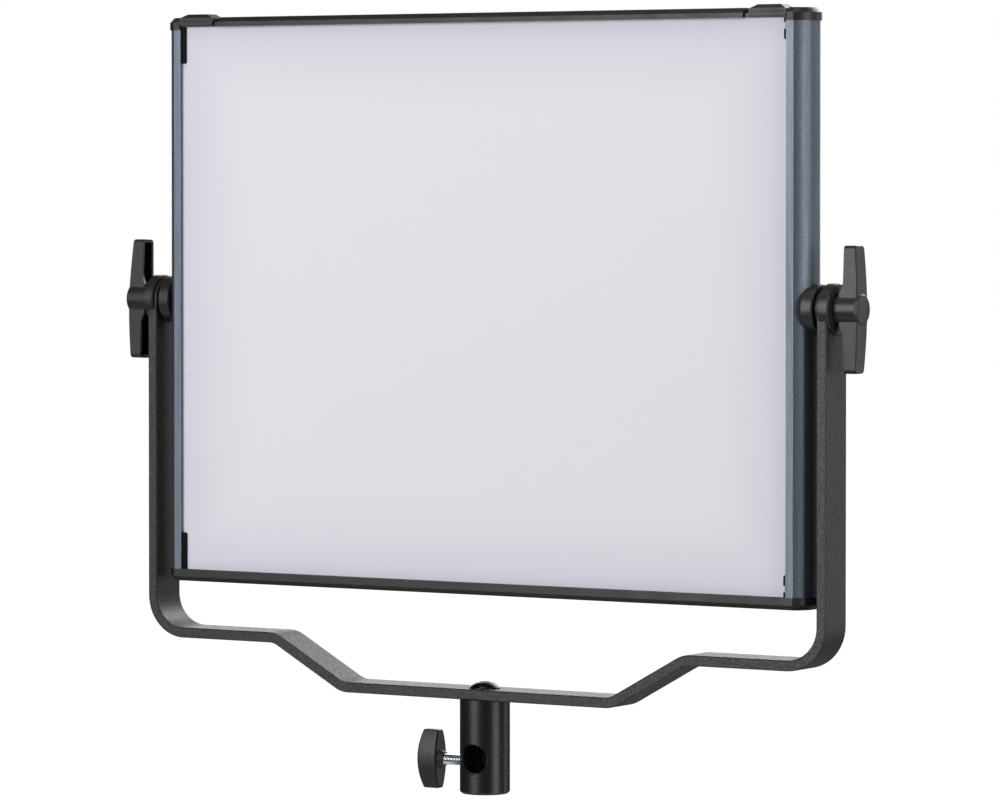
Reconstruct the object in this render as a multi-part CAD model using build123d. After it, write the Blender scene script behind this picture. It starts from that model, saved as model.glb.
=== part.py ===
from build123d import *
import math
import os

# LED panel light on a U-yoke: one STEP file per sub-part, in millimetres.
#
# Frame: +Z up, +X to the light's own left-to-right seen from the front, the light shines towards -Y.
# The origin is the centre of the stand receiver's mouth, on the axis of its bore.
# Pieces of the tilting head are built about the tilt axis and then lifted by TILT_AXIS_HEIGHT.

# ---- stand receiver -------------------------------------------------------------------------
RECEIVER_RADIUS = 14.0
RECEIVER_HEIGHT = 52.7
SPIGOT_BORE_RADIUS = 8.15          # takes a 5/8 inch (15.9 mm) stand spigot
SPIGOT_BORE_DEPTH = 42.0
CROSS_BORE_HEIGHT = 19.8
RECEIVER_EDGE = 1.2
CROSS_BORE_EDGE = 0.4
PAST_RECEIVER = 20.0               # well outside the receiver's wall
BOLT_RADIUS = 5.0                  # M10 button-head screw
BOLT_HEAD_RADIUS = 8.75
BOLT_HEAD_HEIGHT = 3.5
BOLT_HEAD_RIM = 0.6
BOLT_TOP_RADIUS = 3.9
BOLT_SOCKET_RADIUS = 3.4
BOLT_SOCKET_DEPTH = 2.0

# ---- yoke -----------------------------------------------------------------------------------
BAR_THICKNESS = 5.9
BAR_WIDTH = 23.5
BAR_EDGE = 0.6
YOKE_INSIDE = 215.5                # tilt axis: centre plane to the inner face of an arm
TILT_AXIS_HEIGHT = 273.0
SHOULDER_HEIGHT = 78.5             # underside of the raised parts of the crossbar
SHOULDER_BEND_X = 134.0
DROP_BEND_X = 88.0
CORNER_RADIUS = 24.0               # outer radius of the two lower corners
JOGGLE_RADIUS = 14.0
KNUCKLE_RADIUS = 14.0
KNUCKLE_INSIDE = 217.0
KNUCKLE_OUTSIDE = 223.2
KNUCKLE_SKIRT = 6.0                # how far the cap's skirt reaches below the tilt axis
FIT = 0.05                         # radial running clearance of every screw and shaft
GAP = 0.3                          # clearance between pieces that move past each other

# ---- thumb screw ----------------------------------------------------------------------------
THUMB_HEIGHT = 17.4
THUMB_THREAD_RADIUS = 3.0
THUMB_PITCH = 1.0
THUMB_THREAD_DEPTH = 0.35
THUMB_TIP_X = -8.5
THUMB_INNER_FACE_X = -29.0
THUMB_KNOB_LENGTH = 33.0
THUMB_KNOB_WIDTH = 12.4
THUMB_KNOB_THICKNESS = 10.0
THUMB_KNOB_CROWN = 2.3
THUMB_KNOB_END_WIDTH = 5.2
THUMB_KNOB_ROUND = 1.1
THUMB_COLLAR_LENGTH = 3.0
THUMB_COLLAR_RADII = (5.1, 3.9)

# ---- tilt handles ---------------------------------------------------------------------------
HANDLE_INNER_X = 223.6
HANDLE_FACE_X = 237.0              # outer face of the wings where they meet the hub
HANDLE_DOME = 1.1
HUB_RADIUS = 8.9
HUB_RIM_X = 236.5                  # end of the hub's straight side, where its bevelled rim begins
HUB_DISC_RADIUS = 7.7
HUB_DISC_X = 237.5
WING_LENGTH = 34.3
WING_TIP_WIDTH = 10.2
WING_ROOT_WIDTH = 12.6
WING_TIP_FACE_X = 235.5
WING_TIP_DEPTH = 7.0
WING_FLARE = ((228.3, 16.0), (227.5, 11.5), (226.0, 8.6))   # X and Z of the curve beside the hub
WING_TIP_ROUND = 2.2
WING_EDGE_ROUND = 0.7
WING_WALL = 1.8
LEFT_HANDLE_OUT = 2.0              # the left handle and its screw stand this much further out
LEFT_HANDLE_TURN = 3.0             # degrees; the left handle stands a little off upright
PIVOT_SCREW_RADIUS = 4.0
PIVOT_SCREW_INNER_X = 196.8
PIVOT_SCREW_OUTER_X = 232.0

# ---- light head, about the tilt axis --------------------------------------------------------
FLANGE_INNER_X = 197.5             # half the width of the lit opening
FLANGE_OUTER_X = 202.0
BACK_FLANGE_INNER_X = 192.0
RAIL_BEND_X = 200.7                # inside corner behind each flange
RAIL_BULGE = 7.5
HALF_DEPTH = 13.0
WALL = 2.0
RAIL_CORE_X = 204.2
RAIL_CORE_HALF_DEPTH = 7.0
OPENING_TOP = 156.5
OPENING_BOTTOM = -154.7
RAIL_TOP = 154.8
HEAD_TOP = 161.8
HEAD_BOTTOM = -161.6
TRIM_OVERHANG = 1.0
TRIM_FRONT_OVERHANG = 0.5
TRIM_CHAMFER = 2.6
DIFFUSER_FRONT = -10.8
DIFFUSER_THICKNESS = 2.0
DIFFUSER_HALF_WIDTH = 199.4
DIFFUSER_TOP = 158.2
DIFFUSER_BOTTOM = -157.0
BACK_PLATE_FRONT = 8.8
BACK_PLATE_HALF_WIDTH = 199.4
BACK_PLATE_HALF_HEIGHT = 154.5
BACK_SCREW_X = 195.5
BACK_SCREW_Z = (-140.0, -70.0, 0.0, 70.0, 140.0)
COOLING_SLOT_Z = (40.0, 120.0)
COOLING_SLOT_START = 40.0
COOLING_SLOT_SPACING = 10.0
COOLING_SLOT_COLUMNS = 12
COOLING_SLOT_WIDTH = 3.2
SPOT_FACE_X = 206.7
SPACER_RADIUS = 13.5
SPACER_SHOULDER_X = 213.4
SPACER_NECK_RADIUS = 10.5
SPACER_OUTER_X = 215.2
NUT_BLOCK_INNER_X = 196.5
NUT_BLOCK_HALF_DEPTH = 6.8
NUT_BLOCK_HALF_HEIGHT = 16.0
PAST_HEAD_X = 220.0                # outside the head's side
PAST_HEAD_Y = 20.0                 # behind the head's back
LIGHT_BOX_HALF_WIDTH = 195.5       # room for the light box inside the end trims
LIGHT_BOX_END = 2.5
SLOT_HALF_WIDTH = 200.0
SLOT_CLEARANCE = 0.2
REFLECTOR_HALF_WIDTH = 195.0
REFLECTOR_HALF_HEIGHT = 153.5
REFLECTOR_WALL = 1.5
LED_BOARD_FRONT = 6.0
LED_BOARD_HALF_WIDTH = 194.0
LED_BOARD_HALF_HEIGHT = 152.5
LED_SIZE = 3.5
LED_HEIGHT = 0.8
BOARD_SPACER_RADIUS = 4.0
BOARD_SPACER_X = (-150.0, -50.0, 50.0, 150.0)
BOARD_SPACER_Z = (-140.0, 0.0, 140.0)

# ---- catches and clips on the front ---------------------------------------------------------
CATCH_INNER_X = 174.8
CATCH_OUTER_X = 197.8
CATCH_WINDOW_INNER_X = 171.3
CATCH_WINDOW_OUTER_X = 198.1
CATCH_TOP = 163.6
CATCH_RAMP = 4.5
CATCH_BACK = -3.0
CATCH_SEAT = 159.0                 # height of the window's deep part
CATCH_PLATE = 1.2                  # thickness of the catch's lower plate
CATCH_LIP = 0.5
CLIP_WIDTH = 3.0
SLOTTED_CLIP_WIDTH = 1.8
CLIP_THICKNESS = 1.2
CLIP_LENGTH = 21.0
SHORT_CLIP_LENGTH = 12.0
CLIP_SLOT = (2.7, 6.3)             # start and end of the slot, from the clip's outer end

# ---- rear housing ---------------------------------------------------------------------------
HOUSING_HALF_WIDTH = 115.0
HOUSING_TOP = -8.0
HOUSING_BOTTOM = -128.0
HOUSING_BACK = 41.0
HOUSING_FRONT = BACK_PLATE_FRONT + WALL
HOUSING_WALL = 2.5
HOUSING_CORNER = 8.0
HOUSING_BEVEL = 3.0
HOUSING_SCREW_X = 104.0
HOUSING_SCREW_INSET = 11.0
HOUSING_POST_RADIUS = 4.0
HOUSING_SCREW_SINK = 2.0
HOUSING_INNER_BACK = HOUSING_BACK - HOUSING_WALL
BOARD_BACK = HOUSING_INNER_BACK - 7.0
DISPLAY_HALF_WIDTH = 30.0
DISPLAY_HALF_HEIGHT = 18.0
DISPLAY_Z = -40.0
KNOB_X = 76.0
KNOB_Z = -44.0
KNOB_RADIUS = 13.0
KNOB_HEIGHT = 14.0
KNOB_FLUTES = 24
SHAFT_RADIUS = 3.0
BUSH_RADIUS = 3.6
BUTTON_X = (-22.0, 0.0, 22.0)
BUTTON_Z = -76.0
BUTTON_WIDTH = 13.0
BUTTON_HEIGHT = 7.0
BUTTON_TRAVEL = 1.2
SWITCH_X = 76.0
SWITCH_Z = -100.0
SWITCH_HALF_WIDTH = 10.5
SWITCH_HALF_HEIGHT = 7.0
ROCKER_TILT = 8.0                  # degrees either side of level
INLET_X = -76.0
INLET_Y = 26.0
BOARD_THICKNESS = 1.6
SCREW_RADIUS = 1.5                 # M3
SCREW_HEAD_RADIUS = 2.75
SCREW_HEAD_HEIGHT = 1.8

LED_COLUMNS = 14
LED_ROWS = 11
LED_SPACING = 27.0


# ---- small helpers --------------------------------------------------------------------------
def block(x_span, y_span, z_span):
    """A box given by its lowest and highest value along each axis."""
    spans = (x_span, y_span, z_span)
    sizes = [high - low for low, high in spans]
    centre = tuple((low + high) / 2 for low, high in spans)
    return Pos(*centre) * Box(*sizes)


def rod_x(x_span, y, z, radius):
    low, high = x_span
    return Pos((low + high) / 2, y, z) * Rot(0, 90, 0) * Cylinder(radius, high - low)


def rod_y(y_span, x, z, radius):
    low, high = y_span
    return Pos(x, (low + high) / 2, z) * Rot(90, 0, 0) * Cylinder(radius, high - low)


def rod_z(z_span, x, y, radius):
    low, high = z_span
    return Pos(x, y, (low + high) / 2) * Cylinder(radius, high - low)


def mirrored(shape):
    """The same piece on the other side of the centre plane X = 0."""
    return mirror(shape, about=Plane.YZ)


def edges_along(shape, axis):
    return shape.edges().filter_by(axis)


def both_sides(values):
    """Each value and its negative."""
    return [sign * value for value in values for sign in (-1, 1)]


# ---- stand receiver and its screws ----------------------------------------------------------
def stand_receiver():
    tube = rod_z((0, RECEIVER_HEIGHT), 0, 0, RECEIVER_RADIUS)
    tube = chamfer(tube.edges().sort_by(Axis.Z)[0], RECEIVER_EDGE)
    tube -= rod_z((-1, SPIGOT_BORE_DEPTH), 0, 0, SPIGOT_BORE_RADIUS)
    tube -= rod_y((-PAST_RECEIVER, 0), 0, CROSS_BORE_HEIGHT, SPIGOT_BORE_RADIUS)
    # A counterbore leaves a narrow stepped rim where the cross bore breaks through the front wall.
    wall_flat = math.sqrt(RECEIVER_RADIUS**2 - SPIGOT_BORE_RADIUS**2)
    mouth = (-PAST_RECEIVER, CROSS_BORE_EDGE - wall_flat)
    tube -= rod_y(mouth, 0, CROSS_BORE_HEIGHT, SPIGOT_BORE_RADIUS + CROSS_BORE_EDGE)
    tube -= rod_x((-PAST_RECEIVER, 0), 0, THUMB_HEIGHT, THUMB_THREAD_RADIUS + FIT)
    tube -= rod_z((SPIGOT_BORE_DEPTH - 1, RECEIVER_HEIGHT + 1), 0, 0, BOLT_RADIUS)
    return tube


def receiver_bolt():
    seat = RECEIVER_HEIGHT + BAR_THICKNESS
    shank = rod_z((SPIGOT_BORE_DEPTH + 0.5, seat), 0, 0, BOLT_RADIUS)
    rim = seat + BOLT_HEAD_RIM
    top = seat + BOLT_HEAD_HEIGHT
    outline = Polyline((0, seat), (BOLT_HEAD_RADIUS, seat), (BOLT_HEAD_RADIUS, rim))
    # The crown bulges from its thin rim up to the flat top.
    crown_middle = (BOLT_HEAD_RADIUS * 0.8, seat + BOLT_HEAD_HEIGHT * 0.62)
    crown = ThreePointArc((BOLT_HEAD_RADIUS, rim), crown_middle, (BOLT_TOP_RADIUS, top))
    close = Polyline((BOLT_TOP_RADIUS, top), (0, top), (0, seat))
    head = revolve(Plane.XZ * make_face(outline + crown + close), Axis.Z)
    socket = extrude(Pos(0, 0, top - BOLT_SOCKET_DEPTH) * RegularPolygon(BOLT_SOCKET_RADIUS, 6), 10)
    return shank + head - socket


def thread_profile(x_start, x_end, radius, pitch, depth):
    """Half outline, in X and radius, of a screw with ridges one pitch apart."""
    points = [(x_start, 0), (x_start, radius - 2 * depth), (x_start + pitch, radius - depth)]
    turns = int((x_end - x_start - pitch) / pitch)
    for turn in range(turns):
        ridge = x_start + pitch * (turn + 1.5)
        points += [(ridge, radius), (ridge + pitch / 2, radius - depth)]
    points += [(x_end, radius - depth), (x_end, 0)]
    return make_face(Polyline(*points, close=True))


def thumb_screw_shank():
    collar_start = THUMB_INNER_FACE_X - THUMB_KNOB_THICKNESS / 2
    outline = thread_profile(
        0, THUMB_TIP_X - collar_start, THUMB_THREAD_RADIUS, THUMB_PITCH, THUMB_THREAD_DEPTH
    )
    screw = revolve(outline, Axis.X)
    # The outline starts at the tip, so the screw is turned end for end about its length.
    return Pos(THUMB_TIP_X, 0, THUMB_HEIGHT) * Rot(0, 0, 180) * screw


def thumb_screw_knob():
    inner = THUMB_INNER_FACE_X
    outer = inner - THUMB_KNOB_THICKNESS
    half_length = THUMB_KNOB_LENGTH / 2
    half_width = THUMB_KNOB_WIDTH / 2
    end_half_width = THUMB_KNOB_END_WIDTH / 2
    front = ThreePointArc((-end_half_width, -half_length), (-half_width, 0), (-end_half_width, half_length))
    back = ThreePointArc((end_half_width, half_length), (half_width, 0), (end_half_width, -half_length))
    top = Line((-end_half_width, half_length), (end_half_width, half_length))
    bottom = Line((end_half_width, -half_length), (-end_half_width, -half_length))
    plan = Plane.YZ * make_face(front + top + back + bottom)
    knob = Pos(outer - THUMB_KNOB_CROWN, 0, 0) * extrude(plan, THUMB_KNOB_THICKNESS + THUMB_KNOB_CROWN)
    # The outer face is part of a wide cylinder, highest at the middle of the knob's length.
    crown_radius = (half_length**2 + THUMB_KNOB_CROWN**2) / (2 * THUMB_KNOB_CROWN)
    crown_axis_x = outer - THUMB_KNOB_CROWN + crown_radius
    knob &= rod_y((-half_width - 1, half_width + 1), crown_axis_x, 0, crown_radius)
    knob = fillet(knob.edges(), THUMB_KNOB_ROUND)
    collar = Cone(*THUMB_COLLAR_RADII, THUMB_COLLAR_LENGTH)
    knob += Pos(inner + THUMB_COLLAR_LENGTH / 2, 0, 0) * Rot(0, 90, 0) * collar
    bore = THUMB_THREAD_RADIUS + FIT
    knob -= rod_x((inner - THUMB_KNOB_THICKNESS / 2 - GAP, inner + THUMB_COLLAR_LENGTH + 1), 0, 0, bore)
    return Pos(0, 0, THUMB_HEIGHT) * knob


# ---- yoke -----------------------------------------------------------------------------------
def yoke_surface(side):
    """One long surface of the bent bar in the plane Y = 0: side is 1 for the outer one, 0 for the inner."""
    arm = YOKE_INSIDE + side * BAR_THICKNESS
    shoulder = SHOULDER_HEIGHT + (1 - side) * BAR_THICKNESS
    drop = RECEIVER_HEIGHT + (1 - side) * BAR_THICKNESS
    slope = math.atan2(SHOULDER_HEIGHT - RECEIVER_HEIGHT, SHOULDER_BEND_X - DROP_BEND_X)
    shift = (side - 0.5) * BAR_THICKNESS * math.tan(slope / 2)
    right = [
        (DROP_BEND_X + shift, drop),
        (SHOULDER_BEND_X + shift, shoulder),
        (arm, shoulder),
        (arm, TILT_AXIS_HEIGHT),
    ]
    left = [(-x, z) for x, z in reversed(right)]
    corner = CORNER_RADIUS - (1 - side) * BAR_THICKNESS
    drop_bend = JOGGLE_RADIUS + (side - 0.5) * BAR_THICKNESS
    shoulder_bend = JOGGLE_RADIUS - (side - 0.5) * BAR_THICKNESS
    radii = [corner, shoulder_bend, drop_bend, drop_bend, shoulder_bend, corner]
    return FilletPolyline(*(left + right), radius=radii)


def yoke_bar():
    outer = yoke_surface(1)
    inner = yoke_surface(0)
    ends = Line(outer @ 0, inner @ 0) + Line(outer @ 1, inner @ 1)
    profile = Plane.XZ * make_face(outer + inner + ends)
    bar = extrude(profile, BAR_WIDTH / 2, both=True)
    sides = bar.faces().filter_by(Axis.Y)
    bar = chamfer(sides.edges().filter_by(lambda edge: edge.length > BAR_THICKNESS + 1), BAR_EDGE)
    for side in (-1, 1):
        inner_x, outer_x = sorted((side * YOKE_INSIDE, side * (YOKE_INSIDE + BAR_THICKNESS)))
        bar += rod_x((inner_x, outer_x), 0, TILT_AXIS_HEIGHT, BAR_WIDTH / 2)
        bar -= rod_x((inner_x - 1, outer_x + 1), 0, TILT_AXIS_HEIGHT, PIVOT_SCREW_RADIUS + FIT)
    bar -= rod_z((RECEIVER_HEIGHT - 1, RECEIVER_HEIGHT + BAR_THICKNESS + 1), 0, 0, BOLT_RADIUS)
    return bar


def knuckle_cap():
    """Round cap moulded over the end of the right arm; the bar leaves it downwards."""
    cap = rod_x((KNUCKLE_INSIDE, KNUCKLE_OUTSIDE), 0, TILT_AXIS_HEIGHT, KNUCKLE_RADIUS)
    cap = chamfer(cap.edges().filter_by(GeomType.CIRCLE), 0.6)
    bar_outside = YOKE_INSIDE + BAR_THICKNESS
    bar_span = (YOKE_INSIDE - 1, bar_outside)
    cap -= rod_x(bar_span, 0, TILT_AXIS_HEIGHT, BAR_WIDTH / 2)
    half_width = BAR_WIDTH / 2
    below = TILT_AXIS_HEIGHT - 2 * KNUCKLE_RADIUS
    cap -= block(bar_span, (-half_width, half_width), (below, TILT_AXIS_HEIGHT))
    cap -= block(bar_span, (-KNUCKLE_RADIUS, KNUCKLE_RADIUS), (below, TILT_AXIS_HEIGHT - KNUCKLE_SKIRT))
    cap -= rod_x((bar_outside - 1, KNUCKLE_OUTSIDE + 1), 0, TILT_AXIS_HEIGHT, PIVOT_SCREW_RADIUS + FIT)
    return cap


# ---- tilt handle and its screw --------------------------------------------------------------
def wing_outline(tip_half_width, root_half_width, length):
    """Face in Y and Z of both wings together, tapering from the hub to each tip."""
    upper = [(-root_half_width, 0), (-tip_half_width, length), (tip_half_width, length)]
    lower = [(root_half_width, 0), (tip_half_width, -length), (-tip_half_width, -length)]
    return Plane.YZ * make_face(Polyline(*(upper + lower), close=True))


def wing_side(inset, depth_inset):
    """Face in X and Z that sets how thick the wings are: bowed outside, flared beside the hub inside."""
    length = WING_LENGTH - inset
    tip_face_x = WING_TIP_FACE_X - inset
    tip_x = WING_TIP_FACE_X - WING_TIP_DEPTH - depth_inset
    flare = [(x - depth_inset, z) for x, z in WING_FLARE]
    below = [(x, -z) for x, z in reversed(flare)]
    outline = Polyline(below[2], (tip_x, -length), (tip_face_x, -length))
    outline += ThreePointArc((tip_face_x, -length), (HANDLE_FACE_X - inset, 0), (tip_face_x, length))
    outline += Polyline((tip_face_x, length), (tip_x, length), flare[0])
    outline += ThreePointArc(*flare) + Line(flare[2], below[0]) + ThreePointArc(*below)
    return Plane.XZ * make_face(outline)


def handle_hub():
    """Round hub with a bevelled rim round a gently domed end disc."""
    tip_x = HANDLE_FACE_X + HANDLE_DOME
    rise = tip_x - HUB_DISC_X
    dome_radius = (rise**2 + HUB_DISC_RADIUS**2) / (2 * rise)
    middle_x = tip_x - dome_radius + math.sqrt(dome_radius**2 - HUB_DISC_RADIUS**2 / 4)
    sides = Polyline(
        (tip_x, 0),
        (HANDLE_INNER_X, 0),
        (HANDLE_INNER_X, HUB_RADIUS),
        (HUB_RIM_X, HUB_RADIUS),
        (HUB_DISC_X, HUB_DISC_RADIUS),
    )
    dome = ThreePointArc((HUB_DISC_X, HUB_DISC_RADIUS), (middle_x, HUB_DISC_RADIUS / 2), (tip_x, 0))
    return revolve(make_face(sides + dome), Axis.X)


def tilt_handle():
    half_tip = WING_TIP_WIDTH / 2
    half_root = WING_ROOT_WIDTH / 2
    reach = HANDLE_FACE_X + 5
    wings = extrude(wing_outline(half_tip, half_root, WING_LENGTH), reach)
    wings &= extrude(wing_side(0, 0), WING_ROOT_WIDTH, both=True)
    tips = [edge for edge in edges_along(wings, Axis.X) if abs(edge.center().Z) > WING_LENGTH - 1]
    wings = fillet(ShapeList(tips), WING_TIP_ROUND)
    outer_face = wings.faces().sort_by(Axis.X)[-1]
    wings = fillet(outer_face.edges(), WING_EDGE_ROUND)
    hollow = extrude(wing_outline(half_tip - WING_WALL, half_root - WING_WALL, WING_LENGTH), reach)
    hollow &= extrude(wing_side(WING_WALL, 1.0), WING_ROOT_WIDTH, both=True)
    handle = wings - hollow + handle_hub()
    handle -= rod_x((HANDLE_INNER_X - 1, PIVOT_SCREW_OUTER_X + GAP), 0, 0, PIVOT_SCREW_RADIUS + FIT)
    return handle


def pivot_screw():
    screw = rod_x((PIVOT_SCREW_INNER_X, PIVOT_SCREW_OUTER_X), 0, 0, PIVOT_SCREW_RADIUS)
    return chamfer(screw.edges().filter_by(GeomType.CIRCLE), 0.8)


def pivot_spacer():
    spacer = rod_x((SPOT_FACE_X, SPACER_SHOULDER_X), 0, 0, SPACER_RADIUS)
    spacer = fillet(spacer.edges().sort_by(Axis.X)[-1], 1.0)
    spacer += rod_x((SPOT_FACE_X, SPACER_OUTER_X), 0, 0, SPACER_NECK_RADIUS)
    return spacer - rod_x((SPOT_FACE_X - 1, SPACER_OUTER_X + 1), 0, 0, PIVOT_SCREW_RADIUS + FIT)


def pivot_block():
    """Steel nut block inside the rail that the tilt screw threads into."""
    depth = (-NUT_BLOCK_HALF_DEPTH, NUT_BLOCK_HALF_DEPTH)
    nut = block((NUT_BLOCK_INNER_X, RAIL_CORE_X), depth, (-NUT_BLOCK_HALF_HEIGHT, NUT_BLOCK_HALF_HEIGHT))
    return nut - rod_x((NUT_BLOCK_INNER_X - 1, RAIL_CORE_X + 1), 0, 0, PIVOT_SCREW_RADIUS + FIT)


# ---- frame of the head ----------------------------------------------------------------------
def head_plan(side_overhang, front_overhang):
    """Outline of the head from above: flat front and back, bulged ends."""
    depth = HALF_DEPTH + front_overhang
    tip = FLANGE_OUTER_X + RAIL_BULGE + side_overhang
    right = ThreePointArc((FLANGE_OUTER_X, -depth), (tip, 0), (FLANGE_OUTER_X, depth))
    back = Line((FLANGE_OUTER_X, depth), (-FLANGE_OUTER_X, depth))
    left = ThreePointArc((-FLANGE_OUTER_X, depth), (-tip, 0), (-FLANGE_OUTER_X, -depth))
    front = Line((-FLANGE_OUTER_X, -depth), (FLANGE_OUTER_X, -depth))
    return make_face(right + back + left + front)


def back_screw_places():
    """X and Z of the screws through the rails' back flanges."""
    return [(x, z) for x in both_sides([BACK_SCREW_X]) for z in BACK_SCREW_Z]


def side_rail():
    """Right-hand extrusion: flat front flange, bulged side, back flange and an open inner side."""
    inner_y = HALF_DEPTH - WALL
    skin = Polyline((FLANGE_INNER_X, -HALF_DEPTH), (FLANGE_OUTER_X, -HALF_DEPTH))
    bulge = ThreePointArc(
        (FLANGE_OUTER_X, -HALF_DEPTH), (FLANGE_OUTER_X + RAIL_BULGE, 0), (FLANGE_OUTER_X, HALF_DEPTH)
    )
    inside = Polyline(
        (FLANGE_OUTER_X, HALF_DEPTH),
        (BACK_FLANGE_INNER_X, HALF_DEPTH),
        (BACK_FLANGE_INNER_X, inner_y),
        (RAIL_BEND_X, inner_y),
        (RAIL_CORE_X, RAIL_CORE_HALF_DEPTH),
        (RAIL_CORE_X, -RAIL_CORE_HALF_DEPTH),
        (RAIL_BEND_X, -inner_y),
        (FLANGE_INNER_X, -inner_y),
        (FLANGE_INNER_X, -HALF_DEPTH),
    )
    profile = make_face(skin + bulge + inside)
    rail = Pos(0, 0, OPENING_BOTTOM) * extrude(profile, RAIL_TOP - OPENING_BOTTOM)
    rail -= rod_x((SPOT_FACE_X, PAST_HEAD_X), 0, 0, SPACER_RADIUS)
    rail -= rod_x((RAIL_CORE_X - 1, SPOT_FACE_X + 1), 0, 0, PIVOT_SCREW_RADIUS + FIT)
    for x, z in back_screw_places():
        rail -= rod_y((inner_y - 1, HALF_DEPTH + 1), x, z, SCREW_RADIUS + FIT)
    return rail


def trim_blank(rail_z, outer_z):
    """Solid end trim from the rails' ends to the head's outer face, with its outer rim bevelled."""
    direction = math.copysign(1, outer_z - rail_z)
    bevel_z = outer_z - direction * TRIM_CHAMFER
    full = head_plan(TRIM_OVERHANG, TRIM_FRONT_OVERHANG)
    small = head_plan(TRIM_OVERHANG - TRIM_CHAMFER, TRIM_FRONT_OVERHANG - TRIM_CHAMFER)
    straight = Pos(0, 0, min(rail_z, bevel_z)) * extrude(full, abs(bevel_z - rail_z))
    bevel = loft([Pos(0, 0, bevel_z) * full, Pos(0, 0, outer_z) * small], ruled=True)
    return straight + bevel


def trim_inside(slot_z, box_z):
    """Slot for the diffuser's edge, and behind it the room for the light box and the back plate."""
    slot_back = DIFFUSER_FRONT + DIFFUSER_THICKNESS + SLOT_CLEARANCE
    slot = block((-SLOT_HALF_WIDTH, SLOT_HALF_WIDTH), (DIFFUSER_FRONT - SLOT_CLEARANCE, slot_back), slot_z)
    box_x = (-LIGHT_BOX_HALF_WIDTH, LIGHT_BOX_HALF_WIDTH)
    return slot + block(box_x, (slot_back, HALF_DEPTH - WALL), box_z)


def top_trim():
    trim = trim_blank(RAIL_TOP, HEAD_TOP)
    front = -HALF_DEPTH - 5
    # Clear the lit opening below the trim's front lip.
    trim -= block((-FLANGE_INNER_X, FLANGE_INNER_X), (front, -HALF_DEPTH + WALL), (RAIL_TOP - 1, OPENING_TOP))
    slot_z = (RAIL_TOP - 1, DIFFUSER_TOP + SLOT_CLEARANCE)
    trim -= trim_inside(slot_z, (RAIL_TOP - 1, RAIL_TOP + LIGHT_BOX_END))
    for side in (-1, 1):
        window_x = sorted((side * CATCH_WINDOW_INNER_X, side * CATCH_WINDOW_OUTER_X))
        trim -= block(window_x, (front, -HALF_DEPTH + 1), (OPENING_TOP, CATCH_TOP))
        trim -= block(window_x, (front, CATCH_BACK + GAP), (CATCH_SEAT, CATCH_TOP))
    return trim


def bottom_trim():
    trim = trim_blank(OPENING_BOTTOM, HEAD_BOTTOM)
    slot_z = (DIFFUSER_BOTTOM - SLOT_CLEARANCE, OPENING_BOTTOM + 1)
    return trim - trim_inside(slot_z, (OPENING_BOTTOM - LIGHT_BOX_END, OPENING_BOTTOM + 1))


def cross_recess(length):
    """Cross-shaped driver recess centred on the origin, one millimetre deep each way."""
    bar = Box(length, 0.8, 2)
    return bar + Rot(0, 0, 90) * bar


# ---- optics and boards ----------------------------------------------------------------------
def diffuser():
    y_span = (DIFFUSER_FRONT, DIFFUSER_FRONT + DIFFUSER_THICKNESS)
    sheet = block((-DIFFUSER_HALF_WIDTH, DIFFUSER_HALF_WIDTH), y_span, (DIFFUSER_BOTTOM, DIFFUSER_TOP))
    return fillet(edges_along(sheet, Axis.Y), 3.0)


def reflector_frame():
    """White walls that stand between the diffuser and the board, open at front and back."""
    start = DIFFUSER_FRONT + DIFFUSER_THICKNESS + GAP
    half_width = REFLECTOR_HALF_WIDTH
    half_height = REFLECTOR_HALF_HEIGHT
    outer = block((-half_width, half_width), (start, LED_BOARD_FRONT), (-half_height, half_height))
    half_width -= REFLECTOR_WALL
    half_height -= REFLECTOR_WALL
    through = (start - 1, LED_BOARD_FRONT + 1)
    return outer - block((-half_width, half_width), through, (-half_height, half_height))


def led_board():
    y_span = (LED_BOARD_FRONT, LED_BOARD_FRONT + BOARD_THICKNESS)
    width = (-LED_BOARD_HALF_WIDTH, LED_BOARD_HALF_WIDTH)
    return block(width, y_span, (-LED_BOARD_HALF_HEIGHT, LED_BOARD_HALF_HEIGHT))


def leds():
    chips = []
    half_chip = LED_SIZE / 2
    y_span = (LED_BOARD_FRONT - LED_HEIGHT, LED_BOARD_FRONT)
    for column in range(LED_COLUMNS):
        for row in range(LED_ROWS):
            x = (column - (LED_COLUMNS - 1) / 2) * LED_SPACING
            z = (row - (LED_ROWS - 1) / 2) * LED_SPACING
            chips.append(block((x - half_chip, x + half_chip), y_span, (z - half_chip, z + half_chip)))
    return Compound(children=chips)


def board_spacers():
    y_span = (LED_BOARD_FRONT + BOARD_THICKNESS, BACK_PLATE_FRONT)
    places = [(x, z) for x in BOARD_SPACER_X for z in BOARD_SPACER_Z]
    return Compound(children=[rod_y(y_span, x, z, BOARD_SPACER_RADIUS) for x, z in places])


def back_plate():
    y_span = (BACK_PLATE_FRONT, BACK_PLATE_FRONT + WALL)
    height = (-BACK_PLATE_HALF_HEIGHT, BACK_PLATE_HALF_HEIGHT)
    plate = block((-BACK_PLATE_HALF_WIDTH, BACK_PLATE_HALF_WIDTH), y_span, height)
    # Two banks of vertical cooling slots above the rear housing.
    half_slot = COOLING_SLOT_WIDTH / 2
    columns = [COOLING_SLOT_START + COOLING_SLOT_SPACING * step for step in range(COOLING_SLOT_COLUMNS)]
    for x in both_sides(columns):
        slot = block((x - half_slot, x + half_slot), (0, PAST_HEAD_Y), COOLING_SLOT_Z)
        plate -= fillet(edges_along(slot, Axis.Y), half_slot * 0.98)
    for x, z in back_screw_places() + housing_screw_places():
        plate -= rod_y((0, PAST_HEAD_Y), x, z, SCREW_RADIUS + FIT)
    return plate


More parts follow.
